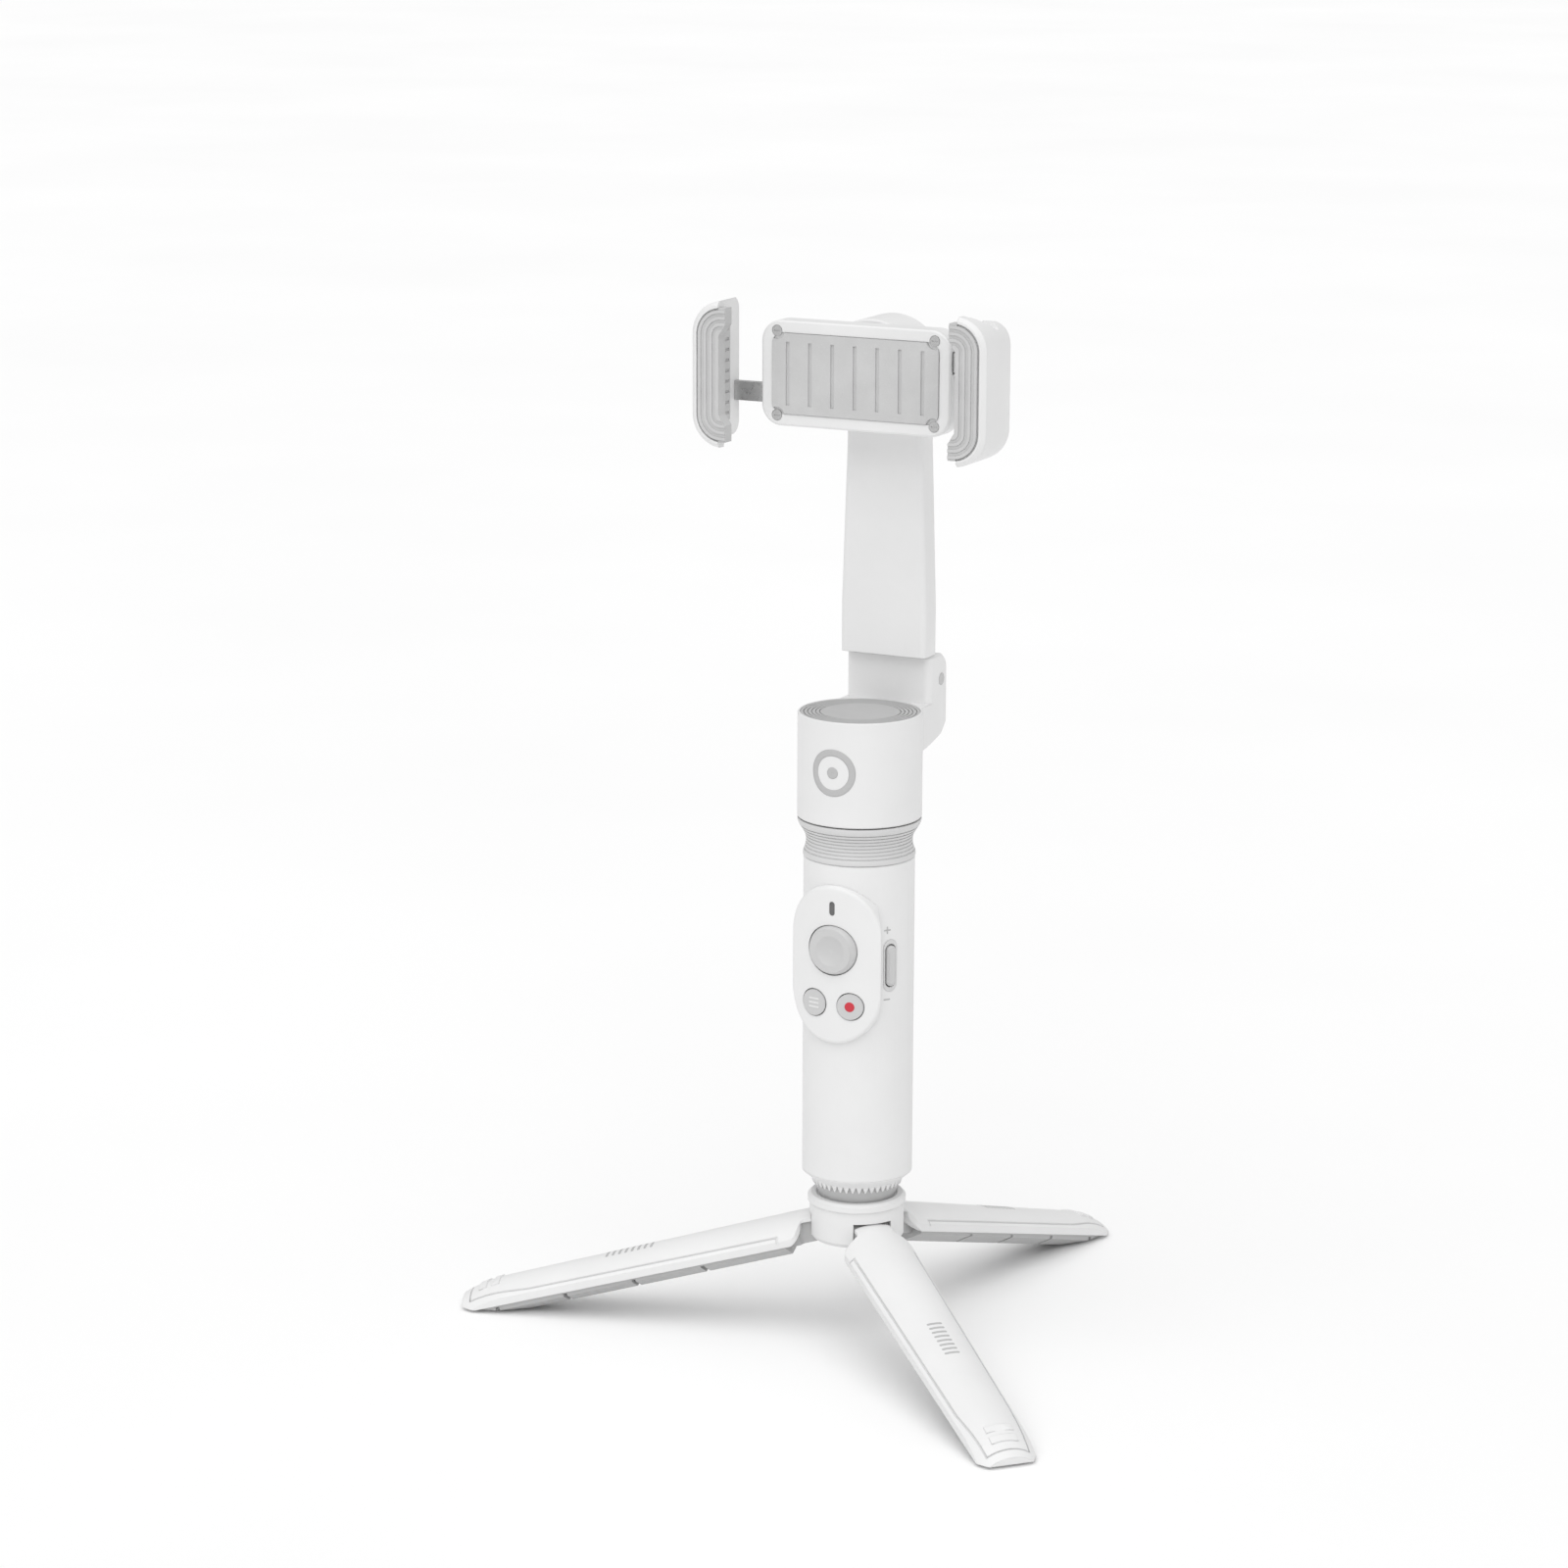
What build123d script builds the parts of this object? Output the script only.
from build123d import *
from math import cos, sin, pi, radians, sqrt, tan, atan2
import os

# A hand-held two-axis phone gimbal on its own small tripod. Millimetres.
# Origin: the point on the floor under the handle's axis. +Z is up, -Y is the side with the
# control panel, +X is the operator's right hand side.

# ---- handle -------------------------------------------------------------------------------
HANDLE_R = 16.1
HANDLE_WALL = 1.8
HANDLE_BOTTOM = 50.0
HANDLE_TOP = 144.3
HANDLE_RIM = 0.4               # rounding of the handle's upper rim
HANDLE_IN_R = HANDLE_R - HANDLE_WALL

# ---- tripod -------------------------------------------------------------------------------
HUB_R = 13.8
HUB_BOTTOM = 29.0
HUB_BODY_TOP = 40.0
HUB_RIM_R = 14.4
HUB_TOP = 42.4
LEG_ANGLES = (76.8, 196.8, 316.8)
LEG_SLOPE = 15.5
PIVOT_R = 8.5
PIVOT_Z = 31.9
LEG_FOLD_R = 13.8            # outer radius of the closed bundle of three legs
LEG_HALF = 10.5              # half width at the shoulder
LEG_TIP_HALF = 8.7
NECK_HALF = 5.5              # half width of the tongue that enters the hub
LEG_LENGTH = 113.8
LEG_SKIN = 1.4
LEG_START = 8.6              # where the leg reaches its full width, from the pivot
LINE_INSET = 0.9             # how far the groove line runs inside the side edge of a leg
LINE_TURN = 92.0             # where the groove line turns in towards the tip
LINE_END = 111.2
LINE_TIP_HALF = 6.5
LINE_WIDE, LINE_DEEP = 0.45, 0.45
KNUCKLE_R = 4.2
PIN_R = 1.25
FIT = 0.05                   # radial running clearance on every hinge pin
SKIRT_Z = -1.8               # lower edge of a leg cover, measured from the pivot
KEEL_Z = -6.1                # lowest face of a leg frame, measured from the pivot
FLOOR_GAP = 0.9
POCKET_LONG, POCKET_HALF = 18.0, 2.4
POCKET_STEP = 21.6           # pitch of the pockets and of the notches under a leg
NOTCH_START = 38.2

# ---- control panel ------------------------------------------------------------------------
PANEL_R = 32.0               # the front is flatter than the handle; its drum is centred behind it
PANEL_Y = 14.2               # centre of that drum
PANEL_WALL = 1.8
PANEL_HALF = 14.1
PANEL_SPREAD = 44.6          # half angle that the panel covers on the handle
PANEL_LOW, PANEL_HIGH = 91.8, 138.6
JOY_Z = 119.7
JOY_Y = -14.8                # centre of the joystick ball
JOY_R = 7.75
JOY_SEAT = 8.0               # radius of the ball-shaped opening in the panel
BUTTON_X = 5.7
BUTTON_Z = 103.5
BUTTON_R = 3.85
LED_Z = 132.0

# ---- zoom rocker --------------------------------------------------------------------------
ROCKER_TURN = 60.2           # degrees round from the front towards +X
ROCKER_Z = 114.6
ROCKER_LEN, ROCKER_WIDE = 12.0, 3.0
BEZEL_LEN, BEZEL_WIDE = 15.4, 4.6

# ---- charging port ------------------------------------------------------------------------
PORT_Z = 55.6
FLAP_HALF, FLAP_LOW, FLAP_HIGH = 6.0, 52.6, 58.6

# ---- telescopic pole ----------------------------------------------------------------------
POLE_Y = 5.0
POLE_FOOT = 62.0
TUBE_WALL = 0.8
STAGE_STEP = 1.1             # one wall and one gap
STAGE_1_R = 8.0

# ---- neck, head and arm -------------------------------------------------------------------
NECK_LOW = 144.45
NECK_HIGH = 155.5
HEAD_LOW = 155.9
HEAD_HIGH = 186.5
HEAD_R = 18.0
ARM_HALF = 13.5
ARM_FRONT = 18.2
ARM_BACK = 30.0
ARM_TOP = 200.0
FOLD_Y, FOLD_Z = 26.0, 192.3
FOLD_PIN_R = 1.75
TONGUE_HALF = 9.0
PLATE_FRONT, PLATE_BACK = 14.2, 21.5
PLATE_LOW = 200.3

# ---- roll motor and clamp -----------------------------------------------------------------
ROLL_Z = 282.8
ROLL_R = 15.6
BODY_HALF = 29.4
BODY_TALL = 15.0             # half height of the clamp body
PHONE_HALF = 38.9            # half of the phone width that the jaws are opened to
PHONE_BACK = -5.4
PHONE_FRONT = -13.7
JAW_OUT = 45.5
JAW_TALL = 20.8              # half height
JAW_FRONT, JAW_BACK = -17.5, -0.5
JAW_CORNER = 9.5
JAW_BACK_CORNER = 4.0
JAW_BACK_TALL = 18.6         # height of the part behind the phone
JAW_DIP = 16.0               # lowest point of the upper edge, at the back of the phone
LIP_IN = 34.5
LIP_WRAP = 2.4               # rubber that wraps round the end of the white lip
RIM = 1.8
RIM_BEVEL = 1.1
GRIP_PROUD = 0.3
GRIP_GAP = 0.55              # sunk line between the rubber and the white rim
GRIP_LINES, GRIP_BAND = 3, 0.9
RACK_R = 4.0                 # pitch radius of the jaw pinion
MODULE = 0.8
TEETH = 10
TOOTH = 0.95                 # tooth thickness on the pitch line, thinned for backlash
SLIDE_Y0, SLIDE_Y1 = -3.6, -1.0


def cyl(r, z0, z1, x=0.0, y=0.0):
    """Upright cylinder."""
    return Pos(x, y, (z0 + z1) / 2) * Cylinder(r, z1 - z0)


def ring(r_out, r_in, z0, z1, x=0.0, y=0.0):
    """Upright tube."""
    return cyl(r_out, z0, z1, x, y) - cyl(r_in, z0 - 1, z1 + 1, x, y)


def block(x0, x1, y0, y1, z0, z1):
    """Box from its two corners."""
    middle = Pos((x0 + x1) / 2, (y0 + y1) / 2, (z0 + z1) / 2)
    return middle * Box(x1 - x0, y1 - y0, z1 - z0)


def turned(points):
    """Solid of revolution about Z from (radius, height) points."""
    return revolve(make_face(Plane.XZ * Polyline(*points, close=True)), Axis.Z)


def bar_y(r, y0, y1, x=0.0, z=0.0):
    """Cylinder along Y."""
    return Pos(x, (y0 + y1) / 2, z) * Rot(90, 0, 0) * Cylinder(r, y1 - y0)


def bar_x(r, x0, x1, y=0.0, z=0.0):
    """Cylinder along X."""
    return Pos((x0 + x1) / 2, y, z) * Rot(0, 90, 0) * Cylinder(r, x1 - x0)


def front_plate(face, y0, y1):
    """Extrude a face drawn as (x, z) from y0 back to y1."""
    return extrude(Pos(0, y1, 0) * (Plane.XZ * face), y1 - y0)


def joined(pieces):
    """Fuse a list of solids."""
    whole = pieces[0]
    for piece in pieces[1:]:
        whole = whole + piece
    return whole


# ---- tripod -------------------------------------------------------------------------------
def tripod_hub():
    hub = turned([(0, HUB_BOTTOM), (HUB_R - 0.9, HUB_BOTTOM), (HUB_R, HUB_BOTTOM + 1.1),
                  (HUB_R, HUB_BODY_TOP - 0.3), (HUB_R + 0.1, HUB_BODY_TOP), (HUB_RIM_R, HUB_BODY_TOP),
                  (HUB_RIM_R, HUB_TOP - 0.9), (HUB_RIM_R - 0.9, HUB_TOP), (12.0, HUB_TOP),
                  (11.4, HUB_TOP - 0.6), (0, HUB_TOP - 0.6)])
    hub = hub - cyl(3.25, 36.0, HUB_TOP) - cyl(6.1, 35.0, 38.0)
    slot = block(3.6, 20, -NECK_HALF - 0.3, NECK_HALF + 0.3, HUB_BOTTOM - 1, 36.4)
    pin_hole = Pos(PIVOT_R, 0, PIVOT_Z) * Rot(90, 0, 0) * Cylinder(PIN_R, 18.0)
    for angle in LEG_ANGLES:
        hub = hub - Rot(0, 0, angle) * (slot + pin_hole)
    return hub


def leg_hinge_pins():
    pin = Pos(PIVOT_R, 0, PIVOT_Z) * Rot(90, 0, 0) * Cylinder(PIN_R, 17.6)
    return Compound(children=[Rot(0, 0, angle) * pin for angle in LEG_ANGLES])


def leg_plan(inset):
    """Plan outline of a leg, drawn from the pivot outwards, drawn in by an inset."""
    shoulder = LEG_HALF - inset
    neck = NECK_HALF - min(inset, 1.2)
    tip = LEG_TIP_HALF - inset
    end = LEG_LENGTH - inset
    half = [(-6, neck), (6.2 + inset, neck), (LEG_START + inset, shoulder), (end, tip)]
    outline = half + [(x, -y) for x, y in reversed(half)]
    face = make_face(Polyline(*outline, close=True))
    round_shoulder = [v for v in face.vertices() if abs(v.X - LEG_START - inset) < 0.1]
    face = fillet(round_shoulder, 2.4)
    round_neck = [v for v in face.vertices()
                  if abs(v.X - 6.2 - inset) < 0.1 and abs(abs(v.Y) - neck) < 0.1]
    face = fillet(round_neck, 0.8)
    round_tip = [v for v in face.vertices() if v.X > end - 0.1]
    return fillet(round_tip, max(2.0 - inset, 0.4))


def plateau(inset):
    """Plan outline of the raised middle of a leg, drawn in by an inset."""
    def side(x):
        share = (x - LEG_START) / (LEG_LENGTH - LEG_START)
        return LEG_HALF + (LEG_TIP_HALF - LEG_HALF) * share - LINE_INSET - inset

    start = 2.0
    half = [(start, side(start)), (LINE_TURN, side(LINE_TURN)), (LINE_END - inset, LINE_TIP_HALF - inset)]
    outline = half + [(x, -y) for x, y in reversed(half)]
    return make_face(Polyline(*outline, close=True))


def leg_crown(inset):
    """Round upper side of a leg: it lies on one drum with its two neighbours when closed."""
    top = LEG_FOLD_R - inset
    end = LEG_LENGTH - inset
    upper = Polyline((-8, 0), (-8, top), (0, top), (99, top - 1.2))
    nose = TangentArc((99, top - 1.2), (end, top - 3.5), tangent=(1, -0.012))
    rest = Polyline((end, top - 3.5), (end, 0), (-8, 0))
    face = make_face(Plane.XZ * Wire([*upper.edges(), nose.edge(), *rest.edges()]))
    return Pos(0, 0, -PIVOT_R) * revolve(face, Axis.X)


def leg_wedge(gap):
    """The 120 degree sector that a closed leg has to itself, less a gap."""
    reach = 24.0
    face = make_face(Plane.YZ * Polyline((0, -PIVOT_R), (reach * tan(radians(60)), reach - PIVOT_R),
                                         (-reach * tan(radians(60)), reach - PIVOT_R), close=True))
    return Pos(-20, 0, gap) * extrude(face, 160)


def leg_band(low):
    return block(-20, 140, -20, 20, low, 20)


def tilt():
    """From the leg's own frame to its open place on the +X side of the hub."""
    return Pos(PIVOT_R, 0, PIVOT_Z) * Rot(0, LEG_SLOPE, 0)


def neck_relief():
    """Room above the tongue, under the roof of the hub slot."""
    return Rot(0, -LEG_SLOPE, 0) * block(-20, 5.3, -8, 8, KNUCKLE_R, 14)


def floor_cut():
    return block(60, 160, -30, 30, -20, FLOOR_GAP)


def foot_block(grow):
    return block(106.6 - grow, 116.2 + grow, -5.6 - grow, 5.6 + grow, 0, 2.6 + grow)


def leg_cover():
    outer = leg_crown(0) & extrude(leg_plan(0), 30, both=True) & leg_wedge(0.3) & leg_band(SKIRT_Z)
    inner = leg_crown(1.6) & extrude(leg_plan(LEG_SKIN), 30, both=True)
    shell = outer - inner
    corner = 5.2
    heel = block(-20, 6.8 + corner, -20, 20, -20, 3.1)
    heel = heel - (Pos(6.8 + corner, 0, 3.1) * Rot(90, 0, 0) * Cylinder(corner, 60))
    shell = shell - heel - block(-20, 3.2, -20, 20, -20, 20) - neck_relief()
    line = extrude(plateau(0) - plateau(LINE_WIDE), 30, both=True) & block(13.6, 140, -20, 20, -5, 20)
    line = line + block(13.6, 14.2, -20, -9.0, -5, 20) + block(13.6, 14.2, 9.0, 20, -5, 20)
    shell = shell - (line & (leg_crown(-1) - leg_crown(LINE_DEEP)))
    for place in (101.4, 105.6):
        shell = shell + leg_ridge(place)
    return tilt() * shell - floor_cut() - foot_block(0)


def leg_ridge(place):
    """Low step across the leg near its tip: steep towards the hub, fading towards the tip."""
    high, long, half_wide = 0.35, 2.6, 4.0
    steep = 0.25
    top = LEG_FOLD_R - 1.2 * place / 99.0 - PIVOT_R
    side = Polyline((place, top - 1.2), (place + steep, top + high), (place + long, top - 0.3),
                    (place + long, top - 1.2), close=True)
    ridge = extrude(make_face(Plane.XZ * side), half_wide, both=True)
    return ridge & leg_crown(-high)


def leg_frame():
    body = leg_crown(1.7) & extrude(leg_plan(LEG_SKIN + 0.1), 30, both=True)
    body = body & leg_wedge(0.6) & leg_band(KEEL_Z)
    heel = block(-20, 12.0, -20, 20, -20, 20) - block(-20, 20, -NECK_HALF, NECK_HALF, -3.4, 20)
    body = body - heel - block(-20, 3.3, -20, 20, -20, 20)
    for index in range(4):
        notch = NOTCH_START + POCKET_STEP * index
        start = notch - 1.8 - POCKET_LONG
        body = body - block(start, start + POCKET_LONG, -POCKET_HALF, POCKET_HALF, -20, 1.0)
        body = body - block(notch - 0.6, notch + 0.6, -20, 20, -20, -2.6)
    knuckle = bar_y(KNUCKLE_R, -NECK_HALF, NECK_HALF)
    tongue = block(0, 13, -NECK_HALF + 1.3, NECK_HALF - 1.3, -3.4, 2.2)
    body = body + knuckle + tongue - bar_y(PIN_R + FIT, -10, 10) - neck_relief()
    return tilt() * body - floor_cut() - foot_block(0)


def leg_foot():
    pad = foot_block(0)
    return fillet(pad.edges().filter_by(Axis.Z), 1.6)


def tripod_screw():
    """Quarter-inch stud: a flanged head held in the hub and ringed threads above it."""
    profile = [(0, 36.2), (6.0, 36.2), (6.0, 37.9), (3.1, 37.9), (3.1, 48.0)]
    height = 48.0
    while height < 56.0:
        profile += [(2.55, height + 0.6), (3.1, height + 1.27)]
        height += 1.27
    profile += [(2.4, height + 0.7), (0, height + 0.7)]
    return turned(profile)


def base_collar():
    return turned([(3.4, 41.8), (11.2, 41.8), (11.2, 42.3), (12.3, 45.4), (12.3, 47.0), (3.4, 47.0)])


def handle_end_cap():
    cap = turned([(5.4, 47.2), (12.4, 47.2), (12.4, 45.6), (12.95, 45.6), (13.4, 47.4), (16.1, 49.7),
                  (16.1, 50.0), (14.2, 50.0), (14.2, 52.0), (12.6, 52.0), (12.6, 49.2), (7.2, 49.2),
                  (7.2, 57.8), (5.4, 57.8)])
    count = 44
    notch_face = make_face(Plane.YZ * Polyline((-0.8, 45.5), (0.8, 45.5), (0, 47.6), close=True))
    notch = Pos(11.5, 0, 0) * extrude(notch_face, 3.0)
    notches = [Rot(0, 0, 360 * index / count) * notch for index in range(count)]
    return cap - Compound(children=notches)


def thread_insert():
    return turned([(3.15, 47.2), (5.35, 47.2), (5.35, 50), (5.1, 50.4), (5.1, 53), (5.35, 53.4),
                   (5.35, 57.6), (3.15, 57.6)])


# ---- handle -------------------------------------------------------------------------------
def panel_face(inset):
    """Egg-shaped outline of the control panel, as (x, z)."""
    half = PANEL_HALF - inset
    high, low = 124.0, 107.0
    top = EllipticalCenterArc((0, high), half, PANEL_HIGH - high - inset, 0, arc_size=180)
    bottom = EllipticalCenterArc((0, low), half, low - PANEL_LOW - inset, 180, arc_size=180)
    left = Line((-half, high), (-half, low))
    right = Line((half, low), (half, high))
    return make_face([top, left, bottom, right])


def rocker_place():
    return Rot(0, 0, ROCKER_TURN - 90) * Pos(0, 0, ROCKER_Z)


def capsule(length, width, r0, r1):
    """Upright capsule-shaped plug standing out along +X between two radii."""
    face = make_face(Plane.YZ * RectangleRounded(width, length, width / 2 - 0.01).wire())
    return Pos(r0, 0, 0) * extrude(face, r1 - r0)


def handle_shell():
    shell = ring(HANDLE_R, HANDLE_IN_R, HANDLE_BOTTOM, HANDLE_TOP)
    roof = cyl(HANDLE_IN_R + 0.2, HANDLE_TOP - 1.5, HANDLE_TOP)
    shell = shell + roof - cyl(STAGE_1_R + 0.35, 140, 150, 0, POLE_Y)
    top_rim = [e for e in shell.edges().filter_by(GeomType.CIRCLE)
               if abs(e.radius - HANDLE_R) < 0.01 and e.center().Z > HANDLE_TOP - 0.1]
    shell = fillet(top_rim, HANDLE_RIM)
    window = front_plate(panel_face(2.6), -20, -9)
    shell = shell - window
    shell = shell - rocker_place() * capsule(BEZEL_LEN, BEZEL_WIDE, 10, 20)
    recess = block(-FLAP_HALF - 0.15, FLAP_HALF + 0.15, 10, 20, FLAP_LOW - 0.6, FLAP_HIGH + 0.15)
    shell = shell - (recess - cyl(HANDLE_R - 1.25, 40, 70))
    return shell - block(-4.6, 4.6, 10, 20, PORT_Z - 1.75, PORT_Z + 1.75)


def panel_drum(grow, low=80, high=150):
    """Solid drum whose wall is the panel's front, grown by an offset."""
    return cyl(PANEL_R + grow, low, high, 0, PANEL_Y)


def panel_wedge():
    """Sector in front of the handle; it makes the panel's side walls point at the axis."""
    reach = 40.0
    x, y = reach * sin(radians(PANEL_SPREAD)), -reach * cos(radians(PANEL_SPREAD))
    return extrude(make_face(Polyline((0, 0), (-x, y), (x, y), close=True)), 200)


def control_panel():
    solid = front_plate(panel_face(0), -24, -5) & panel_drum(0) & panel_wedge()
    on_front = []
    for edge in solid.edges():
        spots = [edge @ 0.2, edge @ 0.5, edge @ 0.8]
        if all(abs(sqrt(spot.X ** 2 + (spot.Y - PANEL_Y) ** 2) - PANEL_R) < 0.02 for spot in spots):
            on_front.append(edge)
    solid = fillet(on_front, 1.2)
    solid = solid - cyl(HANDLE_R + 0.05, 80, 150)
    skirt = (front_plate(panel_face(2.9), -24, -5) & cyl(HANDLE_R + 0.4, 80, 150)) - cyl(13.9, 80, 150)
    skirt = skirt - rocker_place() * capsule(BEZEL_LEN + 0.4, BEZEL_WIDE + 0.4, 10, 20)
    solid = solid + skirt
    cavity = front_plate(panel_face(4.0), -24, -5) & panel_drum(-PANEL_WALL)
    solid = solid - cavity
    solid = solid - Pos(0, JOY_Y, JOY_Z) * Sphere(JOY_SEAT)
    for side in (-1, 1):
        solid = solid - bar_y(BUTTON_R + 0.25, -24, -14, side * BUTTON_X, BUTTON_Z)
        solid = solid - bar_y(BUTTON_R + 0.85, -15.45, -12.5, side * BUTTON_X, BUTTON_Z)
    led = Pos(0, -24, LED_Z) * Rot(0, 0, -90) * capsule(4.1, 1.7, -12, 0)
    return solid - led


def led_window():
    light = Pos(0, 0, LED_Z) * Rot(0, 0, -90) * capsule(4.0, 1.6, 13.0, 22)
    return light & panel_drum(-0.15)


def main_board():
    """Circuit board behind the panel, with two tactile switches and its chips."""
    board = front_plate(panel_face(4.5), -11.9, -11.0)
    for side in (-1, 1):
        board = board + block(side * BUTTON_X - 2.0, side * BUTTON_X + 2.0, -13.4, -11.9, 101.5, 105.5)
    board = board + block(-2.5, 2.5, -12.9, -11.9, 128.5, 133.5)
    board = board + block(-6, -1, -11.0, -10.0, 107, 112) + block(7.0, 8.6, -11.0, -10.2, 116, 123)
    return board - bar_y(6.4, -13, -10, 0, JOY_Z)


def joystick_base():
    """Base plate with two ears that carry the tilting ring."""
    base = bar_y(6.2, -11.4, -10.4, 0, JOY_Z)
    for side in (-1, 1):
        ear = block(4.35, 4.95, -15.6, -11.4, JOY_Z - 1.2, JOY_Z + 1.2)
        base = base + (ear if side > 0 else mirror(ear, Plane.YZ))
    return base - bar_x(0.6 + FIT, -8, 8, JOY_Y, JOY_Z)


def joystick_ring():
    hoop = bar_y(4.1, JOY_Y - 0.9, JOY_Y + 0.9, 0, JOY_Z) - bar_y(3.0, -20, -10, 0, JOY_Z)
    stubs = bar_x(0.6, -4.9, 4.9, JOY_Y, JOY_Z) - bar_y(3.2, -20, -10, 0, JOY_Z)
    return hoop + stubs - Pos(0, JOY_Y, JOY_Z) * Cylinder(0.6 + FIT, 12)


def on_ball(radius, height):
    """Point of a ball's profile, as (distance from the axis, height)."""
    return sqrt(radius ** 2 - height ** 2), height


def joystick_cap():
    """Thumb cap: a slice of a hollow ball with a dished front, on a stem with two pins."""
    inside = JOY_R - 1.2
    low, under, top, dish_floor = -0.5, 2.3, 4.3, 3.2
    dish_edge = 4.4
    stem = Polyline((0, dish_floor), (0, -0.95), (1.3, -0.95), (1.3, under), on_ball(inside, under))
    hollow = ThreePointArc(on_ball(inside, under), on_ball(inside, 1.0), on_ball(inside, low))
    foot = Line(on_ball(inside, low), on_ball(JOY_R, low))
    round_side = ThreePointArc(on_ball(JOY_R, low), on_ball(JOY_R, 2.0), on_ball(JOY_R, top))
    lip = Line(on_ball(JOY_R, top), (dish_edge, top))
    depth = top - dish_floor
    dish_r = (dish_edge ** 2 + depth ** 2) / (2 * depth)
    halfway = dish_floor + dish_r - on_ball(dish_r, dish_edge / 2)[0]
    dish = ThreePointArc((dish_edge, top), (dish_edge / 2, halfway), (0, dish_floor))
    profile = make_face([*stem.edges(), hollow, foot, round_side, lip, dish])
    cap = revolve(Plane.XZ * profile, Axis.Z) + bar_y(0.6, -4.2, 4.2)
    return Pos(0, JOY_Y, JOY_Z) * Rot(90, 0, 0) * cap


def push_button(side):
    x = side * BUTTON_X
    top = bar_y(BUTTON_R, -24, -15.0, x, BUTTON_Z) & panel_drum(0.35)
    flange = bar_y(BUTTON_R + 0.6, -15.2, -14.4, x, BUTTON_Z)
    post = bar_y(1.0, -14.5, -14.0, x, BUTTON_Z)
    return top + flange + post


def rocker_bezel():
    """Oblong frame let into the handle wall, with the rocker's pivot pin across it."""
    frame = capsule(BEZEL_LEN, BEZEL_WIDE, 13.2, 20) & cyl(HANDLE_R + 0.15, -20, 20)
    frame = frame - capsule(ROCKER_LEN + 0.8, ROCKER_WIDE + 0.6, 10, 22)
    pin = Pos(14.3, 0, 0) * Rot(90, 0, 0) * Cylinder(0.5, BEZEL_WIDE - 0.4)
    return rocker_place() * (frame + pin)


def zoom_rocker():
    body = capsule(ROCKER_LEN, ROCKER_WIDE, 13.3, 17.2)
    body = chamfer(body.faces().sort_by(Axis.X)[-1].edges(), 0.6)
    slot = Pos(14.3, 0, 0) * Rot(90, 0, 0) * Cylinder(0.5 + FIT, 10)
    return rocker_place() * (body - slot)


def battery_cell():
    cell = block(-8.6, 8.6, -10.4, -4.9, 61.0, 91.0)
    return fillet(cell.edges().filter_by(Axis.Z), 1.2)


def charging_port():
    shell = block(-4.5, 4.5, 8.6, 14.0, PORT_Z - 1.65, PORT_Z + 1.65)
    shell = fillet(shell.edges().filter_by(Axis.Y), 1.5)
    mouth = block(-4.1, 4.1, 9.4, 15, PORT_Z - 1.25, PORT_Z + 1.25)
    tongue = block(-3.3, 3.3, 9.0, 13.6, PORT_Z - 0.35, PORT_Z + 0.35)
    return shell - mouth + tongue


def port_flap():
    flap = block(-FLAP_HALF, FLAP_HALF, 10, 20, FLAP_LOW, FLAP_HIGH)
    return (flap & cyl(HANDLE_R, 40, 70)) - cyl(HANDLE_R - 1.15, 40, 70)


# ---- telescopic pole ----------------------------------------------------------------------
def pole_guide():
    return ring(9.1, STAGE_1_R + 0.3, 60.8, HANDLE_TOP - 1.5, 0, POLE_Y) + cyl(9.1, 60.0, 60.8, 0, POLE_Y)


def pole_stage(index):
    """One drawn tube of the pole, counted from the outside."""
    radius = STAGE_1_R - STAGE_STEP * index
    top = HANDLE_TOP if index < 3 else 147.0
    return ring(radius, radius - TUBE_WALL, POLE_FOOT, top, 0, POLE_Y)


# ---- neck and pan motor -------------------------------------------------------------------
def waist_radius(waist, height):
    """Radius between the points of a waist profile."""
    for (r0, z0), (r1, z1) in zip(waist, waist[1:]):
        if z0 <= height <= z1:
            return r0 + (r1 - r0) * (height - z0) / (z1 - z0)


def neck_collar():
    """Waisted collar on top of the pole; its upper side carries the pan motor."""
    waist = [(16.2, NECK_LOW), (16.25, 145.3), (15.95, 146.2), (15.55, 147.5), (15.4, 148.9),
             (15.6, 150.4), (16.3, 151.9), (17.2, 153.3), (17.8, 154.5), (17.9, NECK_HIGH)]
    outer = Spline(*waist)
    rest = Polyline((17.9, NECK_HIGH), (0, NECK_HIGH), (0, NECK_LOW), (16.2, NECK_LOW))
    face = make_face(Plane.XZ * Wire([outer.edge(), *rest.edges()]))
    collar = revolve(face, Axis.Z)
    for index in range(8):
        height = 146.0 + 1.03 * index
        collar = collar - ring(20, waist_radius(waist, height) - 0.25, height, height + 0.32)
    collar = collar - cyl(14.0, 147.4, 153.9) - cyl(STAGE_1_R - 3.3, 140, 148, 0, POLE_Y)
    return collar + ring(4.6, 3.6, NECK_HIGH - 0.5, 170.0) - cyl(3.6, 153.5, 171)


def toothed_core(outer, inner, z0, z1, teeth):
    """Motor core: a hub ring with T-shaped teeth, open slots between them."""
    core = ring(outer, inner, z0, z1)
    middle = (outer + inner) / 2
    slot_half = 0.62 * middle * pi / teeth
    slot = block(inner + 1.8, outer - 1.3, -slot_half, slot_half, z0 - 1, z1 + 1)
    mouth = block(outer - 2.5, outer + 1, -0.5, 0.5, z0 - 1, z1 + 1)
    for index in range(teeth):
        core = core - Rot(0, 0, 360 * (index + 0.5) / teeth) * (slot + mouth)
    return core


def pan_stator():
    return toothed_core(12.4, 4.65, 159.0, 167.0, 9)


def pan_bearings():
    lower = ring(3.6, 2.03, 157.0, 159.5)
    upper = ring(3.6, 2.03, 167.4, 169.9)
    return Compound(children=[lower, upper])


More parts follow.
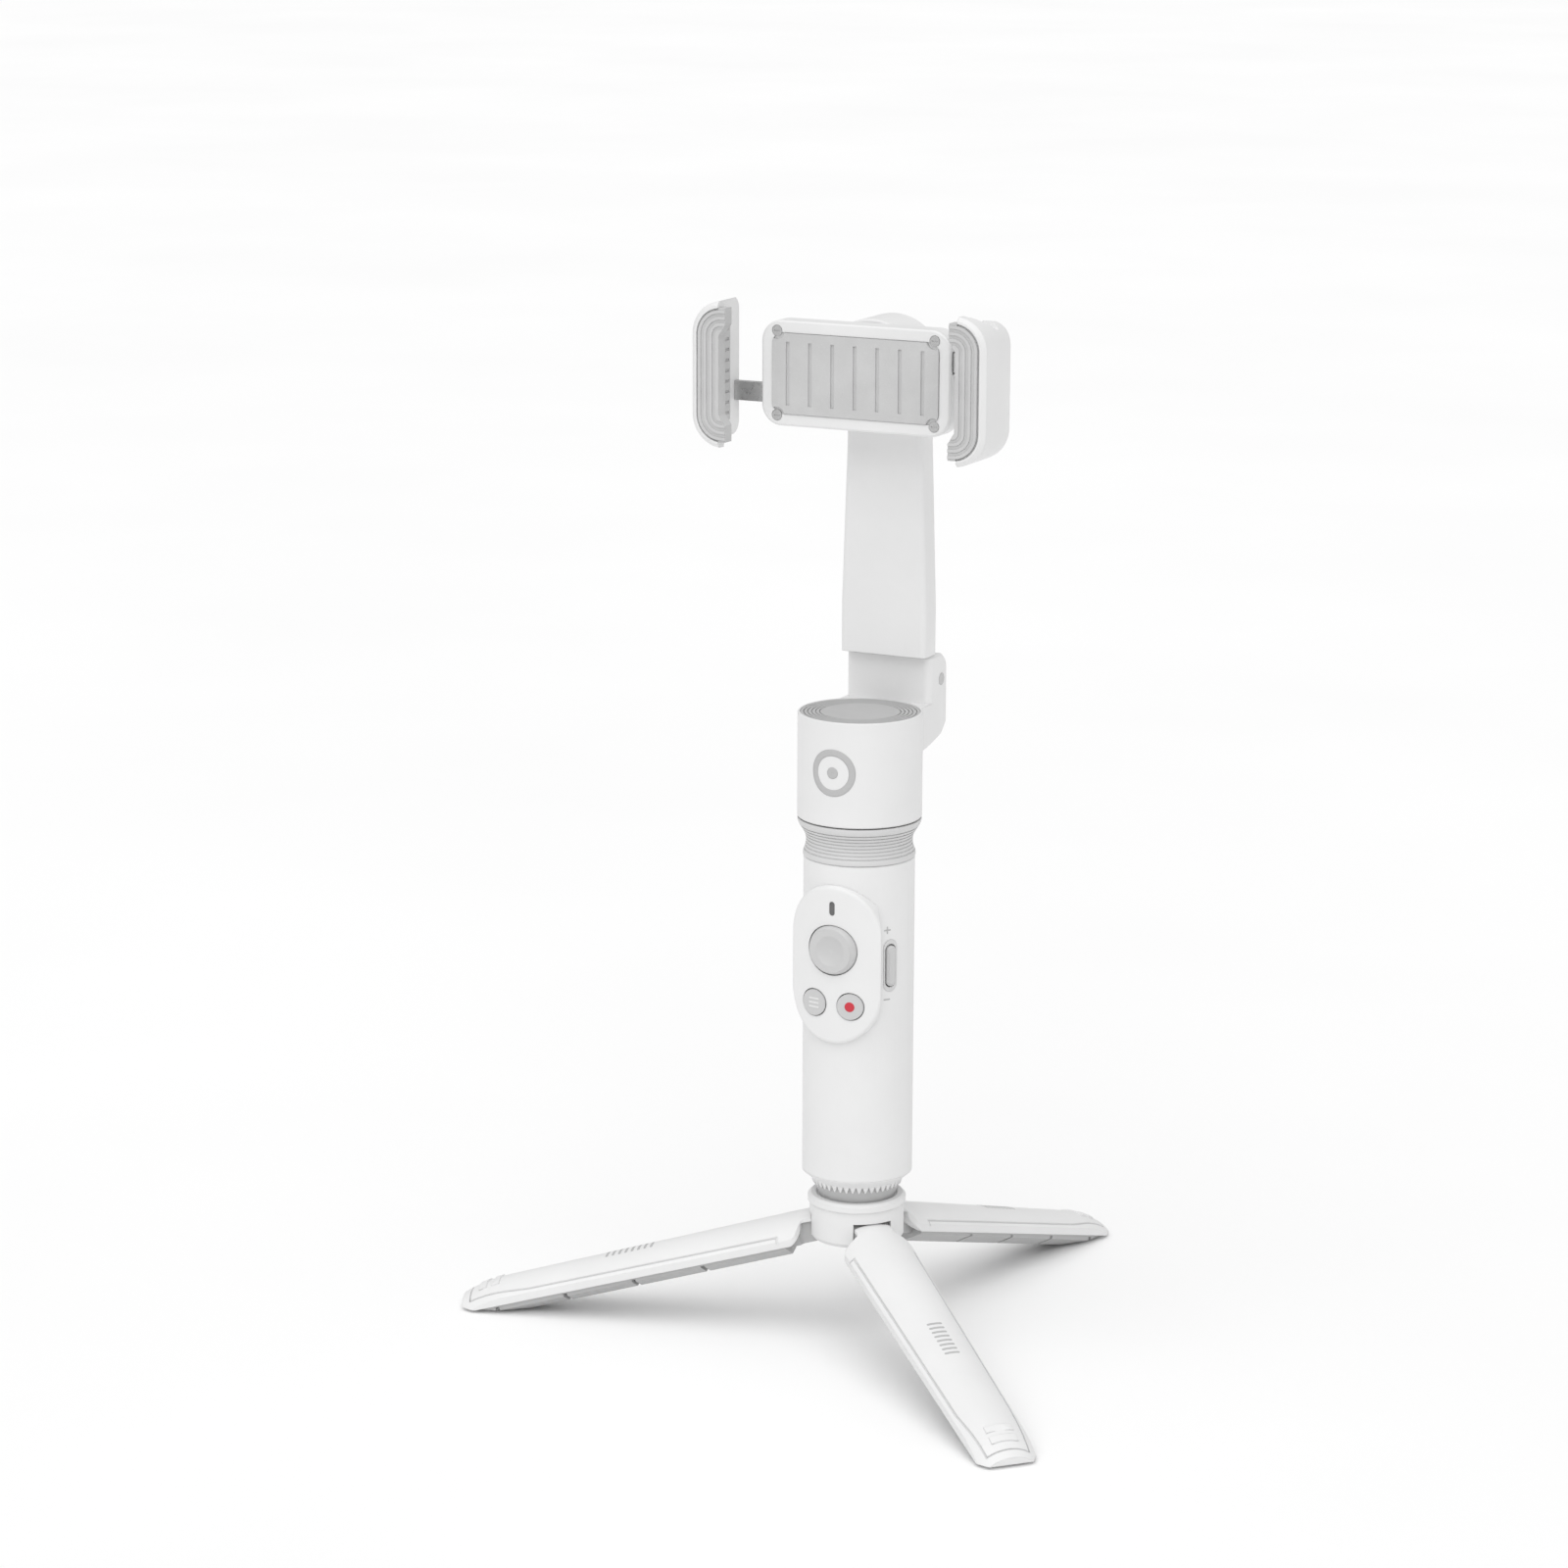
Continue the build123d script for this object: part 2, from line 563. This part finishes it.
def pan_rotor():
    """Magnet bell and shaft; the bell is screwed under the web of the head housing."""
    return turned([(0, 156.6), (2.0, 156.6), (2.0, 170.4), (13.1, 170.4), (13.1, 158.0), (15.4, 158.0),
                   (15.4, 172.6), (0, 172.6)])


# ---- head ---------------------------------------------------------------------------------
def head_housing():
    housing = turned([(16.2, HEAD_LOW), (17.7, HEAD_LOW), (HEAD_R, HEAD_LOW + 0.3),
                      (HEAD_R, HEAD_HIGH - 0.3), (HEAD_R - 0.3, HEAD_HIGH), (17.3, HEAD_HIGH),
                      (17.3, 184.9), (16.2, 184.9), (16.2, 174.6), (3, 174.6), (3, 172.6), (16.2, 172.6)])
    return housing


def head_cap():
    cap = cyl(17.2, 184.9, 186.3)
    for index in range(5):
        radius = 16.4 - 1.15 * index
        cap = cap - ring(radius, radius - 0.35, 185.9, 187)
    return cap


def head_board():
    board = cyl(14.0, 177.0, 178.2) - cyl(1.6, 170, 180, 10.5, 0) - cyl(1.6, 170, 180, -10.5, 0)
    board = board + block(-3.5, 3.5, -3.5, 3.5, 178.2, 179.4) + block(5, 8, -6, -3, 178.2, 179.2)
    posts = Compound(children=[ring(3.0, 1.7, 174.6, 177.0, side * 10.5, 0) for side in (-1, 1)])
    return board + posts


def arm_bracket():
    """Saddle on the back of the head; its two ears hold the fold pin."""
    side = Polyline((11.5, 172.6), (17.3, 173.3), (21.2, 174.1), (26.6, 175.6), (ARM_BACK, 179.0),
                    (ARM_BACK, ARM_TOP), (ARM_FRONT, ARM_TOP), (ARM_FRONT, HEAD_HIGH - 0.4),
                    (11.5, HEAD_HIGH - 0.4), close=True)
    solid = extrude(make_face(Plane.YZ * side), ARM_HALF, both=True)

    def along_x(y, z):
        near = [e for e in solid.edges().filter_by(Axis.X)
                if abs(e.center().Y - y) < 0.1 and abs(e.center().Z - z) < 0.1]
        return near

    solid = fillet(along_x(ARM_BACK, ARM_TOP), 5.0)
    solid = fillet(along_x(26.6, 175.6) + along_x(ARM_BACK, 179.0), 3.0)
    front_corners = [e for e in solid.edges().filter_by(Axis.Z)
                     if abs(e.center().Y - ARM_FRONT) < 0.1 and e.center().Z > HEAD_HIGH]
    solid = fillet(front_corners, 2.2)
    back_corners = [e for e in solid.edges().filter_by(Axis.Z) if abs(e.center().Y - ARM_BACK) < 0.1]
    solid = chamfer(back_corners, 0.7)
    solid = solid - cyl(HEAD_R, 160, HEAD_HIGH)
    solid = solid - block(-TONGUE_HALF - 0.2, TONGUE_HALF + 0.2, 20.6, 40, 177.3, 210)
    return solid - bar_x(FOLD_PIN_R, -20, 20, FOLD_Y, FOLD_Z)


def arm_hinge_pin():
    return bar_x(FOLD_PIN_R, -ARM_HALF - 0.1, ARM_HALF + 0.1, FOLD_Y, FOLD_Z)


# ---- upper arm and roll motor -------------------------------------------------------------
def upper_arm():
    """Folding arm: hinge tongue below, plate, and the cup of the roll motor on top."""
    tongue = bar_x(3.9, -TONGUE_HALF, TONGUE_HALF, FOLD_Y, FOLD_Z)
    tongue = tongue + block(-TONGUE_HALF, TONGUE_HALF, 21.0, 29.9, FOLD_Z, PLATE_LOW)
    gusset_side = Polyline((18, PLATE_LOW), (29.9, PLATE_LOW), (29.9, 201.0), (27.6, 202.4),
                           (PLATE_BACK, 206.8), (18, 206.8), close=True)
    gusset = extrude(make_face(Plane.YZ * gusset_side), TONGUE_HALF, both=True)
    plate_face = make_face(Polyline((-ARM_HALF, PLATE_LOW), (ARM_HALF, PLATE_LOW), (ARM_HALF, 215),
                                    (ROLL_R - 3.6, 262), (ROLL_R - 3.6, ROLL_Z), (-ROLL_R + 3.6, ROLL_Z),
                                    (-ROLL_R + 3.6, 262), (-ARM_HALF, 215), close=True))
    plate = front_plate(plate_face, PLATE_FRONT, PLATE_BACK)
    plate = fillet([e for e in plate.edges() if e.center().Y < PLATE_FRONT + 0.1 and abs(e.center().X) > 5], 1.6)
    drum = bar_y(ROLL_R, 5.0, PLATE_BACK, 0, ROLL_Z)
    rim = [e for e in drum.edges().filter_by(GeomType.CIRCLE)]
    drum = fillet(rim, 0.8)
    arm = tongue + gusset + plate + drum
    arm = arm - bar_y(14.2, 4, PLATE_FRONT + 1.2, 0, ROLL_Z)
    arm = arm + bar_y(4.0, 7.6, PLATE_FRONT + 1.3, 0, ROLL_Z) - bar_y(3.05, 4, PLATE_FRONT + 3.0, 0, ROLL_Z)
    arm = arm - bar_y(13.6, PLATE_BACK - 1.5, 30, 0, ROLL_Z)
    arm = arm - block(-9.5, 9.5, PLATE_BACK - 1.5, 30, 212, ROLL_Z)
    return arm - bar_x(FOLD_PIN_R + FIT, -20, 20, FOLD_Y, FOLD_Z)


def upper_arm_cover():
    """Back cover: a strip down the arm and a grooved disc over the motor."""
    strip = block(-9.4, 9.4, PLATE_BACK - 1.5, PLATE_BACK - 0.1, 212.1, ROLL_Z)
    disc = bar_y(13.5, PLATE_BACK - 1.5, PLATE_BACK - 0.1, 0, ROLL_Z)
    cover = strip + disc
    for index in range(5):
        radius = 12.6 - 1.15 * index
        groove = bar_y(radius, PLATE_BACK - 0.5, 30, 0, ROLL_Z) - bar_y(radius - 0.45, 10, 31, 0, ROLL_Z)
        cover = cover - groove
    return cover


def about_roll(shape):
    """Turn a shape drawn about Z so that it lies about the roll axis, +Z going to +Y."""
    return Pos(0, 0, ROLL_Z) * Rot(-90, 0, 0) * shape


def roll_stator():
    return about_roll(toothed_core(10.5, 4.05, 8.4, 14.4, 9))


def roll_bearings():
    return Compound(children=[about_roll(ring(3.05, 1.53, start, start + 2.2)) for start in (7.7, 13.6)])


def roll_rotor():
    bell = turned([(0, 2.6), (1.5, 2.6), (1.5, 5.2), (13.5, 5.2), (13.5, 13.8), (11.2, 13.8), (11.2, 6.9),
                   (1.5, 6.9), (1.5, 15.6), (0, 15.6)])
    return about_roll(bell)


# ---- clamp --------------------------------------------------------------------------------
def body_face(inset, corner):
    face = RectangleRounded(2 * (BODY_HALF - inset), 2 * (BODY_TALL - inset), corner)
    return Pos(0, ROLL_Z, 0) * face


def slide_room(side, grow):
    """Track of one jaw slide inside the body; the right jaw runs above, the left below."""
    z0, z1 = ROLL_Z + 3.0 - grow, ROLL_Z + 8.8 + grow
    track = block(-25, 40, SLIDE_Y0 - grow, SLIDE_Y1 + grow, z0, z1)
    return track if side > 0 else Pos(0, 0, ROLL_Z) * Rot(0, 180, 0) * Pos(0, 0, -ROLL_Z) * track


def clamp_body():
    """Back half of the clamp, with the tracks for the two slides and a round boss behind."""
    body = front_plate(body_face(0, 6.0), -3.8, 3.2)
    body = fillet(body.edges().group_by(Axis.Y)[-1], 1.8)
    body = body + bar_y(13.4, 3.0, 5.2, 0, ROLL_Z)
    cavity = front_plate(body_face(1.6, 4.4), -4.5, 1.0)
    body = body - cavity
    for side in (-1, 1):
        body = body - slide_room(side, 0.25)
    rail = block(-27.9, 27.9, -3.8, 1.1, ROLL_Z + 9.4, ROLL_Z + 10.6)
    body = body + rail + block(-27.9, 27.9, -3.8, 1.1, ROLL_Z - 10.6, ROLL_Z - 9.4)
    for x in (-24.5, 24.5):
        for z in (-12.0, 12.0):
            body = body + bar_y(1.6, -3.8, 1.1, x, ROLL_Z + z)
            body = body - bar_y(0.8, -4.0, 1.0, x, ROLL_Z + z)
    body = body - bar_y(1.2 + FIT, -1.0, 2.4, 0, ROLL_Z) - bar_y(1.5, 2.6, 6.0, 0, ROLL_Z)
    return body


def clamp_cover():
    cover = front_plate(body_face(0, 6.0), -5.0, -3.8)
    cover = chamfer(cover.edges().group_by(Axis.Y)[0], 0.5)
    cover = cover - front_plate(body_face(3.4, 3.2), -5.1, -4.4)
    for x in (-24.5, 24.5):
        for z in (-12.0, 12.0):
            cover = cover - bar_y(0.9, -6, -3, x, ROLL_Z + z) - bar_y(1.6, -6, -4.5, x, ROLL_Z + z)
    return cover - bar_y(1.2 + FIT, -4.7, -3, 0, ROLL_Z)


def clamp_pad():
    pad = front_plate(body_face(3.5, 3.0), PHONE_BACK, -4.4)
    for index in range(7):
        x = -21 + 7 * index
        pad = pad - block(x - 0.5, x + 0.5, PHONE_BACK - 1, PHONE_BACK + 0.4, ROLL_Z - 9, ROLL_Z + 9)
    for x in (-24.5, 24.5):
        for z in (-12.0, 12.0):
            pad = pad - bar_y(2.4, -6, -4, x, ROLL_Z + z)
    return pad


def clamp_screws():
    screws = []
    for x in (-24.5, 24.5):
        for z in (-12.0, 12.0):
            head = bar_y(1.5, -5.0, -4.5, x, ROLL_Z + z) + bar_y(0.75, -4.6, 0.6, x, ROLL_Z + z)
            screws.append(head - block(x - 0.9, x + 0.9, -5.2, -4.75, ROLL_Z + z - 0.15, ROLL_Z + z + 0.15))
    return Compound(children=screws)


def involute(base, radius, start):
    """Point of an involute flank at a radius, turned by a start angle."""
    roll = sqrt(max((radius / base) ** 2 - 1, 0))
    angle = start + roll - atan2(roll, 1)
    return radius * cos(angle), radius * sin(angle)


def jaw_pinion():
    """Ten-tooth pinion between the two racks, with its journals."""
    base = RACK_R * cos(radians(20))
    tip, root = RACK_R + 0.6, RACK_R - 0.85
    at_pitch = sqrt((RACK_R / base) ** 2 - 1)
    half = TOOTH / (2 * RACK_R) + (at_pitch - atan2(at_pitch, 1))
    points = []
    for tooth in range(TEETH):
        middle = 2 * pi * tooth / TEETH + pi / 2
        lower = [(root * cos(middle - half), root * sin(middle - half))]
        radii = [base + (tip - base) * step / 4 for step in range(5)]
        for radius in radii:
            x, y = involute(base, radius, -half)
            lower.append((x * cos(middle) - y * sin(middle), x * sin(middle) + y * cos(middle)))
        upper = []
        for radius in reversed(radii):
            x, y = involute(base, radius, -half)
            upper.append((x * cos(middle) + y * sin(middle), x * sin(middle) - y * cos(middle)))
        upper.append((root * cos(middle + half), root * sin(middle + half)))
        points += lower + upper
    gear = extrude(make_face(Plane.XZ * Polyline(*points, close=True)), SLIDE_Y1 - SLIDE_Y0 - 0.2)
    gear = Pos(0, SLIDE_Y1 - 0.1, ROLL_Z) * gear
    return gear + bar_y(1.2, -4.35, 2.3, 0, ROLL_Z)


def closing_spring():
    """Flat coil spring round the pinion's rear journal."""
    coil = bar_y(3.4, -0.6, 0.8, 0, ROLL_Z) - bar_y(1.6, -1, 1, 0, ROLL_Z)
    return coil - (bar_y(2.8, -1, -0.2, 0, ROLL_Z) - bar_y(2.3, -2, 0, 0, ROLL_Z))


def rack_slide():
    """Slide of the right jaw: a flat bar with a rack on its lower edge."""
    bar = block(-9, 42.5, SLIDE_Y0, SLIDE_Y1, ROLL_Z + RACK_R + 0.75, ROLL_Z + 8.8)
    bar = bar + block(14, 42.5, SLIDE_Y0, SLIDE_Y1, ROLL_Z + RACK_R - 0.6, ROLL_Z + 8.8)
    pitch = MODULE * pi
    for index in range(-4, 6):
        x = (index + 0.5) * pitch
        flank = tan(radians(20))
        high, low = 0.75, -0.6
        wide, thin = TOOTH / 2 + high * flank, TOOTH / 2 + low * flank
        if x + wide > 14 or x - wide < -9:
            continue
        face = make_face(Plane.XZ * Polyline((x - wide, RACK_R + high), (x - thin, RACK_R + low),
                                             (x + thin, RACK_R + low), (x + wide, RACK_R + high), close=True))
        bar = bar + Pos(0, SLIDE_Y1, ROLL_Z) * extrude(face, SLIDE_Y1 - SLIDE_Y0)
    return bar


def jaw_face(inset):
    """Front outline of the right jaw as (x, z), drawn in on its outer sides by an inset."""
    tall, out = JAW_TALL - inset, JAW_OUT - inset
    corner = JAW_CORNER - inset
    face = RectangleRounded(2 * (out - 25), 2 * tall, corner)
    face = Pos(25, ROLL_Z) * face
    return face & Pos(75, ROLL_Z) * Rectangle(100, 100)


def lip_face():
    """The part of the jaw front that is kept: tabs at both ends, drawn back in the middle."""
    mid, tab, low = LIP_IN + 2.0, 13.0, 11.2
    edge = [(LIP_IN, 30), (LIP_IN, tab + 1.3), (mid, low), (mid, -low), (LIP_IN, -tab - 1.3), (LIP_IN, -30),
            (60, -30), (60, 30)]
    face = make_face(Polyline(*edge, close=True))
    return Pos(0, ROLL_Z) * face


def jaw_body():
    solid = front_plate(jaw_face(0), JAW_FRONT, JAW_BACK)
    solid = chamfer(solid.faces().sort_by(Axis.Y)[0].edges(), RIM_BEVEL)
    solid = solid & block(LIP_IN + LIP_WRAP, 60, -30, 10, ROLL_Z - 30, ROLL_Z + 30)
    side = make_face(Polyline((JAW_FRONT, -JAW_TALL), (JAW_BACK, -JAW_TALL), (JAW_BACK, JAW_BACK_TALL),
                              (PHONE_BACK + 0.5, JAW_BACK_TALL), (PHONE_BACK, JAW_DIP),
                              (PHONE_FRONT, JAW_TALL), (JAW_FRONT, JAW_TALL), close=True))
    side = fillet([v for v in side.vertices() if v.X > JAW_BACK - 0.1], JAW_BACK_CORNER)
    side = fillet([v for v in side.vertices() if abs(v.X - PHONE_BACK) < 0.1], 0.8)
    solid = solid & Pos(20, 0, ROLL_Z) * extrude(Plane.YZ * side, 40)
    return solid - block(20, PHONE_HALF, PHONE_FRONT, 10, ROLL_Z - 30, ROLL_Z + 30)


def grip_solid():
    """Rubber grip: the grooved front inlay and the pad inside the jaw, one moulding."""
    inlay = front_plate(jaw_face(RIM) & lip_face(), JAW_FRONT - GRIP_PROUD, JAW_FRONT + 1.6)
    border = jaw_face(RIM - 0.5) - jaw_face(RIM + GRIP_GAP)
    inlay = inlay - front_plate(border, JAW_FRONT - 1, JAW_FRONT + 0.6)
    for index in range(GRIP_LINES):
        inset = RIM + GRIP_GAP + GRIP_BAND * (1 + 2 * index)
        line = jaw_face(inset) - jaw_face(inset + GRIP_BAND)
        inlay = inlay - front_plate(line, JAW_FRONT - 1, JAW_FRONT)
    wrap = front_plate(jaw_face(RIM) & lip_face(), JAW_FRONT, PHONE_FRONT)
    inlay = inlay + (wrap & block(LIP_IN - 1, LIP_IN + LIP_WRAP - 0.05, -30, 10, ROLL_Z - 30, ROLL_Z + 30))
    liner = block(PHONE_HALF, PHONE_HALF + 1.2, PHONE_FRONT + 0.6, -6.0, ROLL_Z - 14, ROLL_Z + 14)
    for index in range(9):
        z = ROLL_Z - 12 + 3 * index
        liner = liner - block(PHONE_HALF - 1, PHONE_HALF + 0.35, -12.6, -6.6, z - 0.4, z + 0.4)
    plug = block(41, 42.5, JAW_FRONT + 1.5, -9, ROLL_Z - 2, ROLL_Z + 2)
    web = block(PHONE_HALF + 0.5, 42.5, -11, -9, ROLL_Z - 2, ROLL_Z + 2)
    return inlay + liner + plug + web


def opposite(shape):
    """Half turn about the roll axis, which carries the right jaw onto the left jaw."""
    return Pos(0, 0, ROLL_Z) * Rot(0, 180, 0) * Pos(0, 0, -ROLL_Z) * shape


def right_jaw():
    slide_seat = block(30, 42.5, SLIDE_Y0, SLIDE_Y1, ROLL_Z + RACK_R - 0.6, ROLL_Z + 8.8)
    return jaw_body() - grip_solid_room() - slide_seat


def grip_solid_room():
    """Pocket that the grip fills, without its grooves."""
    inlay = front_plate(jaw_face(RIM), JAW_FRONT - 1, JAW_FRONT + 1.6)
    liner = block(PHONE_HALF - 1, PHONE_HALF + 1.2, PHONE_FRONT + 0.6, -6.0, ROLL_Z - 14, ROLL_Z + 14)
    plug = block(41, 42.5, JAW_FRONT + 1.5, -9, ROLL_Z - 2, ROLL_Z + 2)
    web = block(PHONE_HALF + 0.5, 42.5, -11, -9, ROLL_Z - 2, ROLL_Z + 2)
    return inlay + liner + plug + web


def everything():
    parts = {
        "tripod_hub": tripod_hub(), "tripod_screw": tripod_screw(), "leg_hinge_pins": leg_hinge_pins(),
        "base_collar": base_collar(), "handle_end_cap": handle_end_cap(), "thread_insert": thread_insert(),
        "handle_shell": handle_shell(), "control_panel": control_panel(), "led_window": led_window(),
        "main_board": main_board(), "battery_cell": battery_cell(), "charging_port": charging_port(),
        "port_flap": port_flap(), "joystick_base": joystick_base(), "joystick_ring": joystick_ring(),
        "joystick_cap": joystick_cap(), "mode_button": push_button(-1), "record_button": push_button(1),
        "rocker_bezel": rocker_bezel(), "zoom_rocker": zoom_rocker(), "pole_guide": pole_guide(),
        "neck_collar": neck_collar(), "pan_stator": pan_stator(), "pan_bearings": pan_bearings(),
        "pan_rotor": pan_rotor(), "head_housing": head_housing(), "head_cap": head_cap(),
        "head_board": head_board(), "arm_bracket": arm_bracket(), "arm_hinge_pin": arm_hinge_pin(),
        "upper_arm": upper_arm(), "upper_arm_cover": upper_arm_cover(), "roll_stator": roll_stator(),
        "roll_bearings": roll_bearings(), "roll_rotor": roll_rotor(), "clamp_body": clamp_body(),
        "clamp_cover": clamp_cover(), "clamp_pad": clamp_pad(), "clamp_screws": clamp_screws(),
        "closing_spring": closing_spring(), "jaw_pinion": jaw_pinion(),
    }
    cover, frame, foot = leg_cover(), leg_frame(), leg_foot()
    for number, angle in enumerate(LEG_ANGLES, start=1):
        parts[f"leg_cover_{number}"] = Rot(0, 0, angle) * cover
        parts[f"leg_frame_{number}"] = Rot(0, 0, angle) * frame
        parts[f"leg_foot_{number}"] = Rot(0, 0, angle) * foot
    for index in range(4):
        parts[f"pole_stage_{index + 1}"] = pole_stage(index)
    jaw, grip, slide = right_jaw(), grip_solid(), rack_slide()
    parts["right_jaw"], parts["right_grip"], parts["right_slide"] = jaw, grip, slide
    parts["left_jaw"], parts["left_grip"], parts["left_slide"] = opposite(jaw), opposite(grip), opposite(slide)
    return parts


os.makedirs("parts", exist_ok=True)
for name, shape in everything().items():
    export_step(shape, f"parts/{name}.step")
